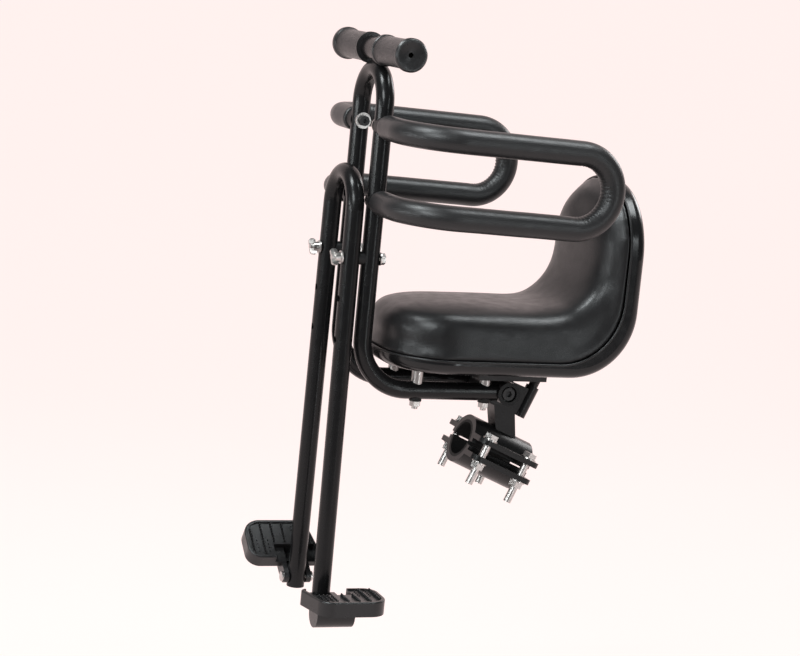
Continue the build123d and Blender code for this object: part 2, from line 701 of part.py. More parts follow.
with BuildPart() as seat_nuts:
    extrude(hexagon([Location((x, y, saddle_low_z - nut_h)) for x, y in bolt_xy], nut_af), amount=nut_h)
    with Locations(*[(x, y, saddle_low_z - nut_h / 2) for x, y in bolt_xy]):
        Cylinder(seat_bolt_d / 2, nut_h, mode=Mode.SUBTRACT)
seat_nuts.part.label = "seat_nuts"
export_step(seat_nuts.part, "parts/seat_nuts.step")

with BuildPart() as seat_bolts:
    bolt_low = saddle_low_z - nut_h - seat_bolt_tip
    with Locations(*[(x, y, (bolt_low + pan_top_z) / 2) for x, y in bolt_xy]):
        Cylinder(seat_bolt_d / 2, pan_top_z - bolt_low)
    with Locations(*[(x, y, pan_top_z + seat_head_h / 2) for x, y in bolt_xy]):
        Cylinder(seat_head_d / 2, seat_head_h)
seat_bolts.part.label = "seat_bolts"
export_step(seat_bolts.part, "parts/seat_bolts.step")

with BuildPart() as stop_pad:
    with Locations((stop_pad_x, 0, shell_floor_z - stop_pad_t / 2)):
        Cylinder(stop_pad_d / 2, stop_pad_t)
    fillet(stop_pad.edges().group_by(Axis.Z)[0], stop_pad_round)
stop_pad.part.label = "stop_pad"
export_step(stop_pad.part, "parts/stop_pad.step")

# Tilt pivot: one bolt through both eyes and the lug
with BuildPart() as pivot_bolt:
    seat_y = eye_out_y - recess_depth
    tip_y = -(eye_out_y - recess_depth + pivot_nut_h)
    with Locations((pivot_x, (seat_y + tip_y) / 2, run_z)):
        Cylinder(pivot_d / 2, seat_y - tip_y, rotation=(90, 0, 0))
    with Locations((pivot_x, seat_y + pivot_head_h / 2, run_z)):
        Cylinder(pivot_head_d / 2, pivot_head_h, rotation=(90, 0, 0))
    socket = Location((pivot_x, seat_y + pivot_head_h, run_z), (90, 0, 0))
    extrude(hexagon([socket], pivot_socket_af), amount=pivot_head_h * 0.6, mode=Mode.SUBTRACT)
pivot_bolt.part.label = "pivot_bolt"
export_step(pivot_bolt.part, "parts/pivot_bolt.step")

with BuildPart() as pivot_nut:
    extrude(hexagon([Location((pivot_x, -seat_y, run_z), (90, 0, 0))], pivot_nut_af), amount=pivot_nut_h)
    with Locations((pivot_x, -seat_y - pivot_nut_h / 2, run_z)):
        Cylinder(pivot_d / 2, pivot_nut_h, rotation=(90, 0, 0), mode=Mode.SUBTRACT)
pivot_nut.part.label = "pivot_nut"
export_step(pivot_nut.part, "parts/pivot_nut.step")

with BuildPart() as pivot_washers:
    washer_y = eye_in_y - pivot_washer_t / 2
    with Locations((pivot_x, washer_y, run_z), (pivot_x, -washer_y, run_z)):
        Cylinder(pivot_washer_od / 2, pivot_washer_t, rotation=(90, 0, 0))
        Cylinder(pivot_d / 2 + pivot_run, pivot_washer_t, rotation=(90, 0, 0), mode=Mode.SUBTRACT)
pivot_washers.part.label = "pivot_washers"
export_step(pivot_washers.part, "parts/pivot_washers.step")

# Clamp: upper saddle with neck, lug and stop sleeve; lower saddle; liners; bolts
neck_points = [
    (neck_front_x, neck_front_z),
    (pivot_x + lug_r - neck_front_in, run_z),
    (pivot_x - lug_r - neck_rear_out, run_z),
    (neck_rear_x, neck_rear_z),
]
bolt_spots = [(u, v) for u in (clamp_bolt_along, -clamp_bolt_along)
              for v in (clamp_bolt_across, -clamp_bolt_across)]

bore_plane = Plane(
    origin=at_clamp(-clamp_len / 2, 0, 0).position,
    x_dir=(0, 1, 0),
    z_dir=clamp_plane.x_dir,
)
bore_place = at_clamp(0, 0, 0) * Location((0, 0, 0), (0, 90, 0))


def saddle_half(up):
    # half shell on one side of the split plane
    with BuildSketch(bore_plane) as half:
        Circle(shell_out_r)
        with Locations((0, -up * (shell_out_r - split_gap / 2))):
            Rectangle(4 * shell_out_r, 2 * shell_out_r, mode=Mode.SUBTRACT)
    return half.sketch


def flange_plate(up):
    # rounded plate that carries two bolts on each side of the bore
    level = flange_top - flange_t if up > 0 else -flange_top
    with BuildSketch(clamp_plane.offset(level)) as plate:
        RectangleRounded(clamp_len, 2 * flange_half, flange_corner_r)
    return plate.sketch


def flange_holes(up):
    # clearance holes for the four clamp bolts
    with Locations(*[at_clamp(u, v, up * (flange_top - flange_t / 2)) for u, v in bolt_spots]):
        Cylinder((clamp_bolt_d + hole_extra) / 2, 2 * flange_t, mode=Mode.SUBTRACT)


with BuildPart() as clamp_upper:
    extrude(saddle_half(1), amount=clamp_len)
    extrude(flange_plate(1), amount=flange_t)
    with BuildSketch(Plane.XZ):
        with BuildLine():
            Polyline(*neck_points, close=True)
        make_face()
    extrude(amount=neck_half, both=True)
    with Locations((pivot_x, 0, run_z)):
        Cylinder(lug_r, 2 * lug_half, rotation=(90, 0, 0))
    with Locations(at_clamp(sleeve_along, 0, (sleeve_low + sleeve_top) / 2)):
        Cylinder(sleeve_od / 2, sleeve_top - sleeve_low)
    web_top = at_clamp(sleeve_along, 0, sleeve_top - sleeve_web_in).position
    web_low = at_clamp(sleeve_along, 0, sleeve_low).position
    with BuildSketch(Plane.XZ):
        with BuildLine():
            Polyline(
                (pivot_x, run_z + lug_r - sleeve_web_in),
                (web_top.X, web_top.Z),
                (web_low.X, web_low.Z),
                (pivot_x, run_z - lug_r + sleeve_web_in),
                close=True,
            )
        make_face()
    extrude(amount=sleeve_web_t / 2, both=True)
    with Locations(at_clamp(sleeve_along, 0, (sleeve_low + sleeve_top) / 2)):
        Cylinder(stop_d / 2, sleeve_top - sleeve_low, mode=Mode.SUBTRACT)
    with Locations(bore_place):
        Cylinder(shell_in_r, 2 * clamp_len, mode=Mode.SUBTRACT)
    with Locations((pivot_x, 0, run_z)):
        Cylinder(pivot_d / 2 + pivot_run, 2 * lug_half, rotation=(90, 0, 0), mode=Mode.SUBTRACT)
    flange_holes(1)
clamp_upper.part.label = "clamp_upper"
export_step(clamp_upper.part, "parts/clamp_upper.step")

with BuildPart() as clamp_lower:
    extrude(saddle_half(-1), amount=clamp_len)
    extrude(flange_plate(-1), amount=flange_t)
    with Locations(bore_place):
        Cylinder(shell_in_r, 2 * clamp_len, mode=Mode.SUBTRACT)
    flange_holes(-1)
clamp_lower.part.label = "clamp_lower"
export_step(clamp_lower.part, "parts/clamp_lower.step")

for up, name in ((1, "liner_upper"), (-1, "liner_lower")):
    with BuildPart() as liner:
        with BuildSketch(bore_plane):
            Circle(bore_r + liner_t)
            Circle(bore_r, mode=Mode.SUBTRACT)
            with Locations((0, -up * (shell_out_r - liner_gap / 2))):
                Rectangle(4 * shell_out_r, 2 * shell_out_r, mode=Mode.SUBTRACT)
        extrude(amount=clamp_len)
    liner.part.label = name
    export_step(liner.part, f"parts/{name}.step")

with BuildPart() as clamp_washers:
    levels = (flange_top + clamp_washer_t / 2, -flange_top - clamp_washer_t / 2)
    with Locations(*[at_clamp(u, v, level) for u, v in bolt_spots for level in levels]):
        Cylinder(clamp_washer_od / 2, clamp_washer_t)
        Cylinder((clamp_bolt_d + hole_extra) / 2, clamp_washer_t, mode=Mode.SUBTRACT)
clamp_washers.part.label = "clamp_washers"
export_step(clamp_washers.part, "parts/clamp_washers.step")

clamp_face = flange_top + clamp_washer_t
with BuildPart() as clamp_bolts:
    low = -clamp_face - clamp_nut_h - clamp_bolt_tip
    with Locations(*[at_clamp(u, v, (low + clamp_face) / 2) for u, v in bolt_spots]):
        Cylinder(clamp_bolt_d / 2, clamp_face - low)
    extrude(hexagon([at_clamp(u, v, clamp_face) for u, v in bolt_spots], clamp_nut_af), amount=clamp_head_h)
clamp_bolts.part.label = "clamp_bolts"
export_step(clamp_bolts.part, "parts/clamp_bolts.step")

with BuildPart() as clamp_nuts:
    nut_low = -clamp_face - clamp_nut_h
    extrude(hexagon([at_clamp(u, v, nut_low) for u, v in bolt_spots], clamp_nut_af), amount=clamp_nut_h)
    with Locations(*[at_clamp(u, v, nut_low + clamp_nut_h / 2) for u, v in bolt_spots]):
        Cylinder(clamp_bolt_d / 2, clamp_nut_h, mode=Mode.SUBTRACT)
clamp_nuts.part.label = "clamp_nuts"
export_step(clamp_nuts.part, "parts/clamp_nuts.step")

# Stop screw: its ball sits just below the pad under the shell
pad_low_z = shell_floor_z - stop_pad_t
ball_up = (pad_low_z - stop_gap - stop_ball_r - sleeve_along * math.sin(slope)) / math.cos(slope)
with BuildPart() as tilt_stop_screw:
    with Locations(at_clamp(sleeve_along, 0, (sleeve_low + ball_up) / 2)):
        Cylinder(stop_d / 2, ball_up - sleeve_low)
    with Locations(at_clamp(sleeve_along, 0, ball_up)):
        Sphere(stop_ball_r)
tilt_stop_screw.part.label = "tilt_stop_screw"
export_step(tilt_stop_screw.part, "parts/tilt_stop_screw.step")
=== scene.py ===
import json
import math

import bpy
import numpy as np
from mathutils import Matrix, Vector, noise

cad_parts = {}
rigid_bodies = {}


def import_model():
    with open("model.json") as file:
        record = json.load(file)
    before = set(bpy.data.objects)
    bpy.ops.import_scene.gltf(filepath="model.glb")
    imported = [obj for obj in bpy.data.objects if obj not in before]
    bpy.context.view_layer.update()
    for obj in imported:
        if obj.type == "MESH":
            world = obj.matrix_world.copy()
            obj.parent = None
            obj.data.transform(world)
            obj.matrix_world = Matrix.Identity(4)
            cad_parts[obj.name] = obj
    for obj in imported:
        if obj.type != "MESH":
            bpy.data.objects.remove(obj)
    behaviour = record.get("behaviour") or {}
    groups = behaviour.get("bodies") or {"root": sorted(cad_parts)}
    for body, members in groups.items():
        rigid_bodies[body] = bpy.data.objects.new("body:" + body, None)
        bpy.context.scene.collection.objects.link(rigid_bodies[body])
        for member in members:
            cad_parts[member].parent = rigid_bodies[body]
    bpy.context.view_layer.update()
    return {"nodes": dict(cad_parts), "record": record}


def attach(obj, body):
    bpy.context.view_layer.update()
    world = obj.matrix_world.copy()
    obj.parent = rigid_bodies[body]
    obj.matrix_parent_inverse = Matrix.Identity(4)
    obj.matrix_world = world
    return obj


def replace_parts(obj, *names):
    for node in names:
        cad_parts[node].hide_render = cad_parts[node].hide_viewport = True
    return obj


MM = 0.001

for old in list(bpy.data.objects):
    bpy.data.objects.remove(old)

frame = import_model()
nodes = frame["nodes"]
scene = bpy.context.scene

# Sizes that the soft and fine pieces share with the solids, in millimetres
LEG_X = 162.5
ARM_UPPER_Z = 328.0
ARM_LOWER_Z = 255.0
ARM_Y = 129.5
ARM_ELBOW_R = 50.0
ARM_RUN = 117.5
ARM_DROOP = math.radians(1.8)
ARM_START_Y = 46.75
PAD_R = 12.1
SEAT_HALF = 80.0
SEAT_FRONT_X = 138.0
SEAM_Z = 107.0
SEAM_BACK_X = -96.0
SEAM_R = 65.0
BACK_TOP_Z = 290.0
FRONT_CORNER_R = 62.0
TOP_CORNER_R = 74.0
PIPING_R = 1.25
PIPING_IN = 0.6
HINGE = Vector((183.3, 39.3569, -143.0))
RIGHT_TIP = math.radians(36.0)
PEDAL_TOP = 15.0
PEDAL_DISH = 1.6
CLAMP_SLOPE = math.radians(23.0)


# Materials

def new_material(name):
    mat = bpy.data.materials.new(name)
    mat.use_nodes = True
    tree = mat.node_tree
    shader = tree.nodes["Principled BSDF"]
    coords = tree.nodes.new("ShaderNodeTexCoord")
    return mat, tree, shader, coords.outputs["Object"]


def noise_tex(tree, vector, scale, detail=4.0, rough=0.5):
    tex = tree.nodes.new("ShaderNodeTexNoise")
    tex.inputs["Scale"].default_value = scale
    tex.inputs["Detail"].default_value = detail
    tex.inputs["Roughness"].default_value = rough
    tree.links.new(vector, tex.inputs["Vector"])
    return tex.outputs["Fac"]


def spread(tree, value, low, high):
    ramp = tree.nodes.new("ShaderNodeMapRange")
    ramp.inputs["From Min"].default_value = 0.3
    ramp.inputs["From Max"].default_value = 0.7
    ramp.inputs["To Min"].default_value = low
    ramp.inputs["To Max"].default_value = high
    tree.links.new(value, ramp.inputs["Value"])
    return ramp.outputs["Result"]


def two_tone(tree, value, dark, light):
    mix = tree.nodes.new("ShaderNodeMix")
    mix.data_type = "RGBA"
    mix.inputs["A"].default_value = (*dark, 1)
    mix.inputs["B"].default_value = (*light, 1)
    tree.links.new(value, mix.inputs["Factor"])
    return mix.outputs["Result"]


def bump(tree, height, strength, distance, under=None):
    node = tree.nodes.new("ShaderNodeBump")
    node.inputs["Strength"].default_value = strength
    node.inputs["Distance"].default_value = distance
    tree.links.new(height, node.inputs["Height"])
    if under is not None:
        tree.links.new(under, node.inputs["Normal"])
    return node.outputs["Normal"]


# A slightly cool reflection, so that the pale pink studio doesn't tint the blacks
COOL = (0.92, 0.98, 1.0, 1.0)


def grey(level, blue):
    return (level, level, blue)


def uneven_rough(tree, shader, vec, scale, detail, rough):
    fine = noise_tex(tree, vec, scale, detail)
    tree.links.new(spread(tree, fine, rough[0], rough[1]), shader.inputs["Roughness"])


def surface(name, dark, light, rough, patch, grain, metal=0.0, coat=0.0, coat_rough=0.08, specular=0.5):
    # one base look: two near tones in patches, uneven roughness and a fine grain
    mat, tree, shader, vec = new_material(name)
    patches = noise_tex(tree, vec, patch)
    tree.links.new(two_tone(tree, patches, dark, light), shader.inputs["Base Color"])
    fine = noise_tex(tree, vec, patch * 9, 6.0, 0.6)
    tree.links.new(spread(tree, fine, rough[0], rough[1]), shader.inputs["Roughness"])
    shader.inputs["Metallic"].default_value = metal
    shader.inputs["Coat Weight"].default_value = coat
    shader.inputs["Coat Roughness"].default_value = coat_rough
    shader.inputs["Specular IOR Level"].default_value = specular
    if metal == 0.0:
        shader.inputs["Specular Tint"].default_value = COOL
    scale, strength, distance = grain
    normal = bump(tree, noise_tex(tree, vec, scale, 3.0), strength, distance)
    tree.links.new(normal, shader.inputs["Normal"])
    return mat


def leather(name, dark, light, rough, cell, depth, crease, specular):
    # pebbled cover: small cells with soft valleys over a slow unevenness
    mat, tree, shader, vec = new_material(name)
    patches = noise_tex(tree, vec, 18.0)
    tree.links.new(two_tone(tree, patches, dark, light), shader.inputs["Base Color"])
    uneven_rough(tree, shader, vec, 90.0, 5.0, rough)
    shader.inputs["Specular IOR Level"].default_value = specular
    shader.inputs["Specular Tint"].default_value = COOL
    slow = bump(tree, noise_tex(tree, vec, 28.0, 2.0), 0.25, crease)
    cells = tree.nodes.new("ShaderNodeTexVoronoi")
    cells.feature = "SMOOTH_F1"
    cells.inputs["Scale"].default_value = cell
    cells.inputs["Smoothness"].default_value = 0.6
    tree.links.new(vec, cells.inputs["Vector"])
    normal = bump(tree, cells.outputs["Distance"], 0.35, depth, slow)
    tree.links.new(normal, shader.inputs["Normal"])
    return mat


def ringed(name, axis, pitch, dark, light, rough, metal, depth, specular=0.5):
    # plated rod with thread-like rings across the given axis
    mat, tree, shader, vec = new_material(name)
    patches = noise_tex(tree, vec, 60.0)
    tree.links.new(two_tone(tree, patches, dark, light), shader.inputs["Base Color"])
    uneven_rough(tree, shader, vec, 300.0, 5.0, rough)
    shader.inputs["Metallic"].default_value = metal
    shader.inputs["Specular IOR Level"].default_value = specular
    along = tree.nodes.new("ShaderNodeVectorMath")
    along.operation = "DOT_PRODUCT"
    along.inputs[1].default_value = axis
    tree.links.new(vec, along.inputs[0])
    turns = tree.nodes.new("ShaderNodeMath")
    turns.operation = "MULTIPLY"
    turns.inputs[1].default_value = 2 * math.pi / pitch
    tree.links.new(along.outputs["Value"], turns.inputs[0])
    wave = tree.nodes.new("ShaderNodeMath")
    wave.operation = "SINE"
    tree.links.new(turns.outputs[0], wave.inputs[0])
    tree.links.new(bump(tree, wave.outputs[0], 0.8, depth), shader.inputs["Normal"])
    return mat


def grip_rubber():
    # soft black rubber with fine rings round the bar
    mat, tree, shader, vec = new_material("grip_rubber")
    patches = noise_tex(tree, vec, 40.0)
    tone = two_tone(tree, patches, grey(0.009, 0.0095), grey(0.015, 0.0155))
    tree.links.new(tone, shader.inputs["Base Color"])
    uneven_rough(tree, shader, vec, 260.0, 5.0, (0.26, 0.38))
    shader.inputs["Specular IOR Level"].default_value = 0.36
    shader.inputs["Specular Tint"].default_value = COOL
    rings = tree.nodes.new("ShaderNodeTexWave")
    rings.bands_direction = "Y"
    rings.inputs["Scale"].default_value = 110.0
    rings.inputs["Distortion"].default_value = 0.0
    tree.links.new(vec, rings.inputs["Vector"])
    fine = bump(tree, noise_tex(tree, vec, 900.0, 3.0), 0.25, 0.0003)
    tree.links.new(bump(tree, rings.outputs["Fac"], 0.4, 0.0006, fine), shader.inputs["Normal"])
    return mat


BLACK = grey(0.004, 0.0043)
BLACK_B = grey(0.0065, 0.0068)
PAINT = dict(rough=(0.2, 0.3), patch=10.0, grain=(420.0, 0.05, 0.0003), coat=0.05, coat_rough=0.1, specular=0.2)
mats = {
    "frame_paint": surface("frame_paint", BLACK, BLACK_B, **PAINT),
    "arm_tube": surface("arm_tube", BLACK, BLACK_B, **PAINT),
    "grip_rubber": grip_rubber(),
    "pad_cover": leather(
        "pad_cover", grey(0.009, 0.0095), grey(0.014, 0.0145),
        rough=(0.33, 0.43), cell=820.0, depth=0.0003, crease=0.0005, specular=0.36,
    ),
    "cushion_cover": leather(
        "cushion_cover", grey(0.007, 0.0074), grey(0.0105, 0.011),
        rough=(0.3, 0.4), cell=900.0, depth=0.00025, crease=0.0004, specular=0.32,
    ),
    "black_plastic": surface(
        "black_plastic", grey(0.006, 0.0063), grey(0.01, 0.0104),
        rough=(0.4, 0.52), patch=30.0, grain=(700.0, 0.2, 0.0003), specular=0.2,
    ),
    "black_bolt": surface(
        "black_bolt", grey(0.008, 0.0084), grey(0.014, 0.0145),
        rough=(0.3, 0.44), patch=60.0, grain=(500.0, 0.15, 0.0003), specular=0.35,
    ),
    "pedal_plastic": surface(
        "pedal_plastic", grey(0.007, 0.0074), grey(0.011, 0.0115),
        rough=(0.26, 0.36), patch=26.0, grain=(800.0, 0.12, 0.0003), specular=0.4,
    ),
    "shell_plastic": surface(
        "shell_plastic", BLACK, BLACK_B,
        rough=(0.16, 0.24), patch=12.0, grain=(600.0, 0.06, 0.0003), specular=0.36,
    ),
    "bracket_grey": surface(
        "bracket_grey", grey(0.02, 0.0205), grey(0.03, 0.0305),
        rough=(0.36, 0.5), patch=40.0, grain=(300.0, 0.1, 0.0003), specular=0.25,
    ),
    "clamp_paint": surface(
        "clamp_paint", grey(0.005, 0.0053), grey(0.009, 0.0094),
        rough=(0.26, 0.38), patch=24.0, grain=(520.0, 0.1, 0.0003), coat=0.05, coat_rough=0.15, specular=0.25,
    ),
    "liner_rubber": surface(
        "liner_rubber", grey(0.008, 0.008), grey(0.012, 0.012),
        rough=(0.6, 0.75), patch=50.0, grain=(700.0, 0.2, 0.0003), specular=0.2,
    ),
    "zinc": surface(
        "zinc", grey(0.42, 0.41), (0.54, 0.53, 0.52),
        rough=(0.26, 0.34), patch=40.0, grain=(300.0, 0.02, 0.0001), metal=1.0,
    ),
}

# Threaded pieces get rings across their own axis
clamp_up = (-math.sin(CLAMP_SLOPE), 0.0, math.cos(CLAMP_SLOPE))
BOLT_PITCH = 0.0011
STOP_PITCH = 0.0016
ROD = dict(dark=grey(0.44, 0.43), light=(0.54, 0.53, 0.52), rough=(0.28, 0.36), metal=1.0, depth=0.000012)
threads = {
    "clamp_bolts": ringed("zinc_clamp_bolts", clamp_up, BOLT_PITCH, **ROD),
    "seat_bolts": ringed("zinc_seat_bolts", (0.0, 0.0, 1.0), BOLT_PITCH, **ROD),
    "footrest_bolts": ringed("zinc_footrest_bolts", (1.0, 0.0, 0.0), BOLT_PITCH, **ROD),
    "tilt_stop_screw": ringed(
        "stop_screw_thread", clamp_up, STOP_PITCH, grey(0.008, 0.0084), grey(0.014, 0.0145),
        rough=(0.3, 0.45), metal=0.0, depth=0.00006, specular=0.3,
    ),
}
for sub in frame["record"]["subparts"]:
    obj = nodes[sub["node"]]
    obj.data.materials.clear()
    obj.data.materials.append(threads.get(sub["node"], mats[sub["material_slot"]]))


# Mesh helpers

def mesh_object(name, verts, faces, mat, smooth=True):
    mesh = bpy.data.meshes.new(name)
    mesh.from_pydata([tuple(v) for v in verts], [], faces)
    mesh.update()
    obj = bpy.data.objects.new(name, mesh)
    scene.collection.objects.link(obj)
    mesh.materials.append(mat)
    mesh.polygons.foreach_set("use_smooth", [smooth] * len(mesh.polygons))
    return obj


def coords_of(mesh):
    co = np.zeros(len(mesh.vertices) * 3)
    mesh.vertices.foreach_get("co", co)
    return co.reshape(-1, 3)


def set_coords(mesh, co):
    mesh.vertices.foreach_set("co", np.asarray(co, np.float32).ravel())
    mesh.update()


def apply_all(obj):
    bpy.context.view_layer.objects.active = obj
    for mod in list(obj.modifiers):
        bpy.ops.object.modifier_apply(modifier=mod.name)


def arc(centre, a, b, sweep, steps):
    # points of an arc from direction a towards direction b, both with the arc's radius
    centre, a, b = Vector(centre), Vector(a), Vector(b)
    angles = [sweep * i / steps for i in range(steps + 1)]
    return [centre + a * math.cos(t) + b * math.sin(t) for t in angles]


def even_points(points, step):
    # the same line with points at a near even step, closed lines kept closed
    pts = np.array([tuple(p) for p in points])
    seg = np.linalg.norm(np.diff(pts, axis=0), axis=1)
    keep = np.concatenate([[True], seg > 1e-6])
    pts = pts[keep]
    dist = np.concatenate([[0.0], np.cumsum(np.linalg.norm(np.diff(pts, axis=0), axis=1))])
    count = max(8, int(round(dist[-1] / step)))
    at = np.linspace(0, dist[-1], count + 1)
    return np.stack([np.interp(at, dist, pts[:, k]) for k in range(3)], axis=1), at


# Armrest covers: padded sleeves with fine creases on the inside of the bends

PAD_STEP = 1.6
PAD_AROUND = 40
PAD_END_LEN = 3.0
PAD_END_DROP = 1.6
PAD_UNEVEN = 0.18
BEND_LEAST = 0.006
BEND_FULL = 1 / 36.0
CREASE_TURN = 1.35
CREASE_HIGH = 0.75
CREASE_SINK = 0.35


def arm_line(side):
    along = Vector((-math.cos(ARM_DROOP), 0, -math.sin(ARM_DROOP)))
    out = Vector((0, side, 0))
    even = (ARM_UPPER_Z - ARM_LOWER_Z) * math.sin(ARM_DROOP)
    front_y = ARM_Y - ARM_ELBOW_R
    halves = []
    for z, extra in ((ARM_UPPER_Z, even), (ARM_LOWER_Z, 0.0)):
        start = Vector((LEG_X, side * ARM_START_Y, z))
        corner = Vector((LEG_X, side * front_y, z))
        bend = arc(corner + along * ARM_ELBOW_R, -along * ARM_ELBOW_R, out * ARM_ELBOW_R, math.pi / 2, 24)
        halves.append([start] + bend + [bend[-1] + along * (ARM_RUN + extra)])
    top, low = halves[0][-1], halves[1][-1]
    mid = (top + low) / 2
    turn = arc(mid, top - mid, along * (top - mid).length, math.pi, 40)
    return halves[0] + turn + halves[1][::-1]


def armrest_pad(name, side):
    pts, at = even_points(arm_line(side), PAD_STEP)
    tangent = np.gradient(pts, axis=0)
    tangent /= np.linalg.norm(tangent, axis=1)[:, None]
    bend = np.gradient(tangent, axis=0)
    curve = np.linalg.norm(bend, axis=1) / np.gradient(at)
    soft = np.convolve(curve, np.ones(7) / 7, mode="same")
    inward = bend / np.maximum(np.linalg.norm(bend, axis=1), 1e-9)[:, None]
    around = PAD_AROUND
    verts, faces = [], []
    side_dir = np.array([0.0, 0.0, 1.0])
    total = at[-1]
    for i, p in enumerate(pts):
        t = tangent[i]
        u = side_dir - t * (side_dir @ t)
        if np.linalg.norm(u) < 1e-3:
            u = np.array([1.0, 0.0, 0.0]) - t * t[0]
        u /= np.linalg.norm(u)
        v = np.cross(t, u)
        side_dir = u
        end = min(at[i], total - at[i])
        ease = math.sqrt(max(0.0, 1 - (1 - min(end / PAD_END_LEN, 1.0)) ** 2))
        bent = min(soft[i] / BEND_FULL, 1.0)
        for k in range(around):
            a = 2 * math.pi * k / around
            d = u * math.cos(a) + v * math.sin(a)
            inner = max(0.0, float(d @ inward[i])) if soft[i] > BEND_LEAST else 0.0
            where = Vector(p * 0.05 + d * 0.3)
            ripple = math.sin(at[i] * CREASE_TURN + 2.2 * noise.noise(where * 1.4))
            ripple *= 0.55 + 0.45 * noise.noise(where * 3.0)
            crease = bent * (inner ** 1.5 * CREASE_HIGH * ripple - inner * CREASE_SINK)
            slow = PAD_UNEVEN * noise.noise(Vector(p * 0.03) + Vector((0, side * 7.0, k * 0.05)))
            r = PAD_R - PAD_END_DROP * (1 - ease) + crease + slow
            verts.append((p + d * r) * MM)
    rings = len(pts)
    for i in range(rings - 1):
        for k in range(around):
            n = (k + 1) % around
            faces.append((i * around + k, i * around + n, (i + 1) * around + n, (i + 1) * around + k))
    faces.append(tuple(range(around))[::-1])
    faces.append(tuple((rings - 1) * around + k for k in range(around)))
    obj = mesh_object(name, verts, faces, mats["pad_cover"])
    for poly in obj.data.polygons:
        if len(poly.vertices) > 4:
            poly.use_smooth = False
    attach(obj, "seat")
    return obj


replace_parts(armrest_pad("left_armrest_cover", 1), "left_armrest_pad")
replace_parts(armrest_pad("right_armrest_cover", -1), "right_armrest_pad")


# Seat cushion: the solid remeshed, blown up a little as cloth and held flat at the shell, in metres

CUSHION_VOXEL = 0.0045
CUSHION_HELD = 0.014
CUSHION_SHRINK = 0.0016
CUSHION_PRESSURE = 4.0
CUSHION_FRAMES = 20
CUSHION_CAP = 0.006
CUSHION_CROWN = 0.0016
CUSHION_UNEVEN = 0.0005
CROWN_FROM = 0.016
CROWN_OVER = 0.006
ROUNDING_ROUNDS = 26
SWELL_ROUNDS = 60


def seam_depth(co):
    # how far each point stands in front of the seam surface, in metres
    cx, cz, r = (SEAM_BACK_X + SEAM_R) * MM, (SEAM_Z + SEAM_R) * MM, SEAM_R * MM
    x, z = co[:, 0], co[:, 2]
    flat = z - SEAM_Z * MM
    back = x - SEAM_BACK_X * MM
    bend = r - np.hypot(x - cx, z - cz)
    return np.where((x < cx) & (z < cz), bend, np.where(x >= cx, flat, back))


def evened(values, edges, weight, rounds):
    # values spread over neighbouring vertices, each round as far as the weight lets them
    count = len(values)
    ends = np.concatenate([edges, edges[:, ::-1]])
    degree = np.bincount(ends[:, 0], minlength=count)[:, None]
    for _ in range(rounds):
        near = [np.bincount(ends[:, 0], values[ends[:, 1], k], count) for k in range(values.shape[1])]
        values = values + weight * 0.5 * (np.stack(near, axis=1) / degree - values)
    return values


def seat_cushion():
    source = nodes["seat_cushion"]
    mesh = source.data.copy()
    obj = bpy.data.objects.new("cushion_cover", mesh)
    scene.collection.objects.link(obj)
    bpy.context.view_layer.objects.active = obj
    obj.select_set(True)
    mesh.remesh_voxel_size = CUSHION_VOXEL
    bpy.ops.object.voxel_remesh()
    mesh = obj.data
    co = coords_of(mesh)
    normals = np.zeros(len(co) * 3)
    mesh.vertices.foreach_get("normal", normals)
    normals = normals.reshape(-1, 3)
    hold = np.clip(seam_depth(co) / CUSHION_HELD, 0.0, 1.0)
    hold = (hold * hold * (3 - 2 * hold))[:, None]
    edges = np.zeros(len(mesh.edges) * 2, int)
    mesh.edges.foreach_get("vertices", edges)
    edges = edges.reshape(-1, 2)
    rest = evened(co, edges, hold, ROUNDING_ROUNDS) - normals * CUSHION_SHRINK * hold
    set_coords(mesh, rest)
    cloth = obj.modifiers.new("cloth", "CLOTH")
    cloth.settings.quality = 6
    cloth.settings.mass = 0.3
    cloth.settings.use_pressure = True
    cloth.settings.uniform_pressure_force = CUSHION_PRESSURE
    cloth.settings.effector_weights.gravity = 0.0
    cloth.collision_settings.use_collision = False
    cloth.point_cache.frame_start = 1
    cloth.point_cache.frame_end = CUSHION_FRAMES
    for step in range(1, CUSHION_FRAMES + 1):
        scene.frame_set(step)
    ready = obj.evaluated_get(bpy.context.evaluated_depsgraph_get())
    moved = coords_of(ready.data).copy()
    obj.modifiers.remove(cloth)
    scene.frame_set(1)
    shift = moved - rest
    length = np.linalg.norm(shift, axis=1)[:, None]
    shift *= np.minimum(1.0, CUSHION_CAP / np.maximum(length, 1e-9))
    rest = rest + evened(shift * hold, edges, 1.0, SWELL_ROUNDS) * hold
    crown = np.clip(1 - (rest[:, 1] / (SEAT_HALF * MM)) ** 2, 0, 1)
    inside = np.clip((seam_depth(rest) - CROWN_FROM) / CROWN_OVER, 0.0, 1.0)
    slow = np.array([noise.noise(Vector(p) * 14.0) for p in rest]) * CUSHION_UNEVEN
    rest = rest + normals * ((crown * CUSHION_CROWN + slow) * inside)[:, None]
    set_coords(mesh, rest)
    smooth = obj.modifiers.new("smooth", "SMOOTH")
    smooth.factor = 0.5
    smooth.iterations = 4
    fine = obj.modifiers.new("fine", "SUBSURF")
    fine.levels = 1
    fine.render_levels = 1
    apply_all(obj)
    obj.data.materials.clear()
    obj.data.materials.append(mats["cushion_cover"])
    obj.data.polygons.foreach_set("use_smooth", [True] * len(obj.data.polygons))
    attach(obj, "seat")
    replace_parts(obj, "seat_cushion")
    return obj


seat_cushion()


# Piping along the seam between cushion and shell

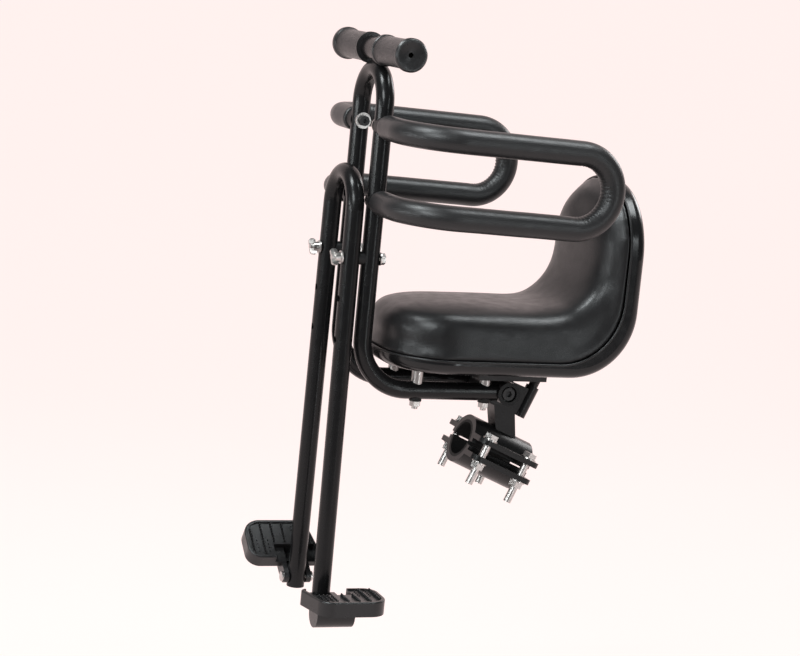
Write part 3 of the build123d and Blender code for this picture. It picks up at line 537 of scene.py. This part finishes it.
def seam_line():
    half, top = SEAT_HALF - PIPING_IN, BACK_TOP_Z - PIPING_IN
    front = SEAT_FRONT_X - PIPING_IN
    cx, cz = SEAM_BACK_X + SEAM_R, SEAM_Z + SEAM_R
    z = SEAM_Z
    left = [Vector((front, 0, z))]
    fr, tr = FRONT_CORNER_R, TOP_CORNER_R
    left += arc((front - fr, half - fr, z), (fr, 0, 0), (0, fr, 0), math.pi / 2, 20)
    left += arc((cx, half, cz), (0, 0, -SEAM_R), (-SEAM_R, 0, 0), math.pi / 2, 24)
    left += arc((SEAM_BACK_X, half - tr, top - tr), (0, tr, 0), (0, 0, tr), math.pi / 2, 24)
    left.append(Vector((SEAM_BACK_X, 0, top)))
    right = [Vector((p.x, -p.y, p.z)) for p in left[::-1]]
    return left + right[1:]


def tube_along(name, points, radius, around, mat, body):
    pts, _ = even_points(points, 3.0)
    pts = pts[:-1]
    count = len(pts)
    verts, faces = [], []
    centre = pts.mean(axis=0)
    for i in range(count):
        t = pts[(i + 1) % count] - pts[i - 1]
        t /= np.linalg.norm(t)
        u = pts[i] - centre
        u -= t * (u @ t)
        u /= np.linalg.norm(u)
        v = np.cross(t, u)
        for k in range(around):
            a = 2 * math.pi * k / around
            verts.append((pts[i] + (u * math.cos(a) + v * math.sin(a)) * radius) * MM)
    for i in range(count):
        j = (i + 1) % count
        for k in range(around):
            n = (k + 1) % around
            faces.append((i * around + k, i * around + n, j * around + n, j * around + k))
    obj = mesh_object(name, verts, faces, mat)
    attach(obj, body)
    return obj


tube_along("seat_piping", seam_line(), PIPING_R, 10, mats["cushion_cover"], "seat")


# Pedal treads: rows of small studs on the dished tops, measured from the hinge in millimetres

PLATE_INNER = 13.0
PLATE_SKEW = 11.0 / 49.0
FRONT_LIMIT = 25.5
ROWS = 4
ROW_X = -9.0
ROW_STEP = 11.5
ROW_PITCH = 3.1
ROW_START = 18.5
ROW_END = 58.0
LAST_ROW_SHORT = 6.0
NOTCH_CLEAR_X = 23.0
NOTCH_CLEAR_Y = 34.5
FIELD_PITCH_X = 4.4
FIELD_PITCH_Y = 4.6
FIELD_X = 1.0
FIELD_Y = 35.0
DOTS_X = -27.0
DOTS_Y = 22.0
ROW_STUD = (1.15, 2.8)
FIELD_STUD = (0.9, 1.9)
DOT_STUD = (0.8, 1.2)
STUD_SIDES = 8
STUD_SINK = 0.4


def stud(verts, faces, x, y, base, size):
    # a small blunt cone, sunk a little into the tread
    r, h = size
    start = len(verts)
    count = STUD_SIDES
    for z, radius in ((base - STUD_SINK, r), (base + h * 0.6, r * 0.92), (base + h, r * 0.55)):
        for k in range(count):
            a = 2 * math.pi * k / count
            verts.append(Vector((x + radius * math.cos(a), y + radius * math.sin(a), z)))
    for ring in range(2):
        for k in range(count):
            n = (k + 1) % count
            o = start + ring * count
            faces.append((o + k, o + n, o + count + n, o + count + k))
    faces.append(tuple(start + 2 * count + k for k in range(count)))
    faces.append(tuple(start + k for k in range(count))[::-1])


def pedal_tread(name, side, body):
    base = PEDAL_TOP - PEDAL_DISH
    verts, faces = [], []
    for row in range(ROWS):
        x = ROW_X - ROW_STEP * row
        y0 = NOTCH_CLEAR_Y if abs(x) < NOTCH_CLEAR_X else ROW_START
        y1 = ROW_END - (LAST_ROW_SHORT if row == ROWS - 1 else 0.0)
        for i in range(int((y1 - y0) / ROW_PITCH) + 1):
            stud(verts, faces, x, y0 + ROW_PITCH * i, base, ROW_STUD)
    for ix in range(5):
        for iy in range(5):
            x, y = FIELD_X + FIELD_PITCH_X * ix, FIELD_Y + FIELD_PITCH_Y * iy
            if x + (y - PLATE_INNER) * PLATE_SKEW < FRONT_LIMIT:
                stud(verts, faces, x, y, base, FIELD_STUD)
    for ix in range(2):
        for iy in range(4):
            stud(verts, faces, DOTS_X - ROW_STEP * ix, DOTS_Y + FIELD_PITCH_Y * iy, base, DOT_STUD)
    turn = Matrix.Translation((HINGE.x, side * HINGE.y, HINGE.z))
    if side < 0:
        turn = turn @ Matrix.Rotation(math.pi, 4, "Z") @ Matrix.Rotation(RIGHT_TIP, 4, "X")
    obj = mesh_object(name, [(turn @ v) * MM for v in verts], faces, mats["pedal_plastic"], False)
    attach(obj, body)
    return obj


pedal_tread("left_pedal_studs", 1, "left_pedal")
pedal_tread("right_pedal_studs", -1, "right_pedal")


# Studio: pale sweep, soft lights and the camera of the photograph, in metres

SWEEP_NEAR = -1.4
SWEEP_FLAT = 1.6
SWEEP_TOP = 5.0
SWEEP_HALF = 6.0
COVE_R = 1.4
FLOOR_Z = -0.34


def studio():
    mat, tree, shader, vec = new_material("studio_paper")
    patches = noise_tex(tree, vec, 0.7, 2.0)
    paper = two_tone(tree, patches, (0.12, 0.11, 0.108), (0.13, 0.12, 0.118))
    tree.links.new(paper, shader.inputs["Base Color"])
    glow = two_tone(tree, patches, (0.95, 0.785, 0.76), (0.965, 0.8, 0.78))
    tree.links.new(glow, shader.inputs["Emission Color"])
    shader.inputs["Emission Strength"].default_value = 1.0
    shader.inputs["Roughness"].default_value = 0.9
    shader.inputs["Specular IOR Level"].default_value = 0.1
    profile = [(SWEEP_NEAR, 0.0), (SWEEP_FLAT, 0.0)]
    for a in np.linspace(0.1, math.pi / 2, 14):
        profile.append((SWEEP_FLAT + COVE_R * math.sin(a), COVE_R - COVE_R * math.cos(a)))
    profile.append((SWEEP_FLAT + COVE_R, SWEEP_TOP))
    away = Vector((-0.365, -0.931, 0)).normalized()
    across = Vector((away.y, -away.x, 0))
    verts, faces = [], []
    for d, h in profile:
        for s in (-SWEEP_HALF, SWEEP_HALF):
            verts.append(away * d + across * s + Vector((0, 0, FLOOR_Z + h)))
    for i in range(len(profile) - 1):
        faces.append((2 * i, 2 * i + 1, 2 * i + 3, 2 * i + 2))
    sweep = mesh_object("studio_sweep", verts, faces, mat)


def area_light(name, place, target, size, power):
    data = bpy.data.lights.new(name, "AREA")
    data.shape = "RECTANGLE"
    data.size, data.size_y = size
    data.energy = power
    obj = bpy.data.objects.new(name, data)
    scene.collection.objects.link(obj)
    obj.location = place
    obj.rotation_mode = "QUATERNION"
    obj.rotation_quaternion = (Vector(target) - Vector(place)).to_track_quat("-Z", "Z")


studio()
middle = (0.04, 0.0, 0.12)
area_light("key_front_left", (1.7, 1.6, 1.3), middle, (0.8, 1.0), 40.0)
area_light("front_top", (1.05, 0.25, 1.75), middle, (0.7, 0.5), 32.0)
area_light("top_soft", (-0.6, 0.35, 1.9), middle, (0.8, 0.8), 26.0)
area_light("strip_left", (1.9, 0.3, 0.25), middle, (0.12, 1.4), 10.0)
area_light("strip_right", (-0.75, 1.9, 0.35), middle, (0.1, 1.6), 7.0)
area_light("rim_back", (-1.5, -0.7, 0.9), middle, (0.5, 0.8), 8.0)

world = bpy.data.worlds.new("studio_world")
world.use_nodes = True
sky = world.node_tree.nodes["Background"]
sky.inputs["Color"].default_value = (0.95, 0.98, 1.0, 1)
sky.inputs["Strength"].default_value = 0.15
scene.world = world

CAMERA_AT = (0.905, 2.024, 0.4775)
cam_data = bpy.data.cameras.new("camera")
cam_data.lens = 99.0
cam_data.sensor_width = 36.0
cam = bpy.data.objects.new("camera", cam_data)
scene.collection.objects.link(cam)
look = Vector((-0.3603, -0.919, -0.1598)).normalized()
up_hint = Vector((0.1028, 0.0, 0.9947))
right = look.cross(up_hint).normalized()
up = right.cross(look)
cam.matrix_world = Matrix.Translation(CAMERA_AT) @ Matrix((right, up, -look)).transposed().to_4x4()
scene.camera = cam
scene.view_settings.view_transform = "Standard"
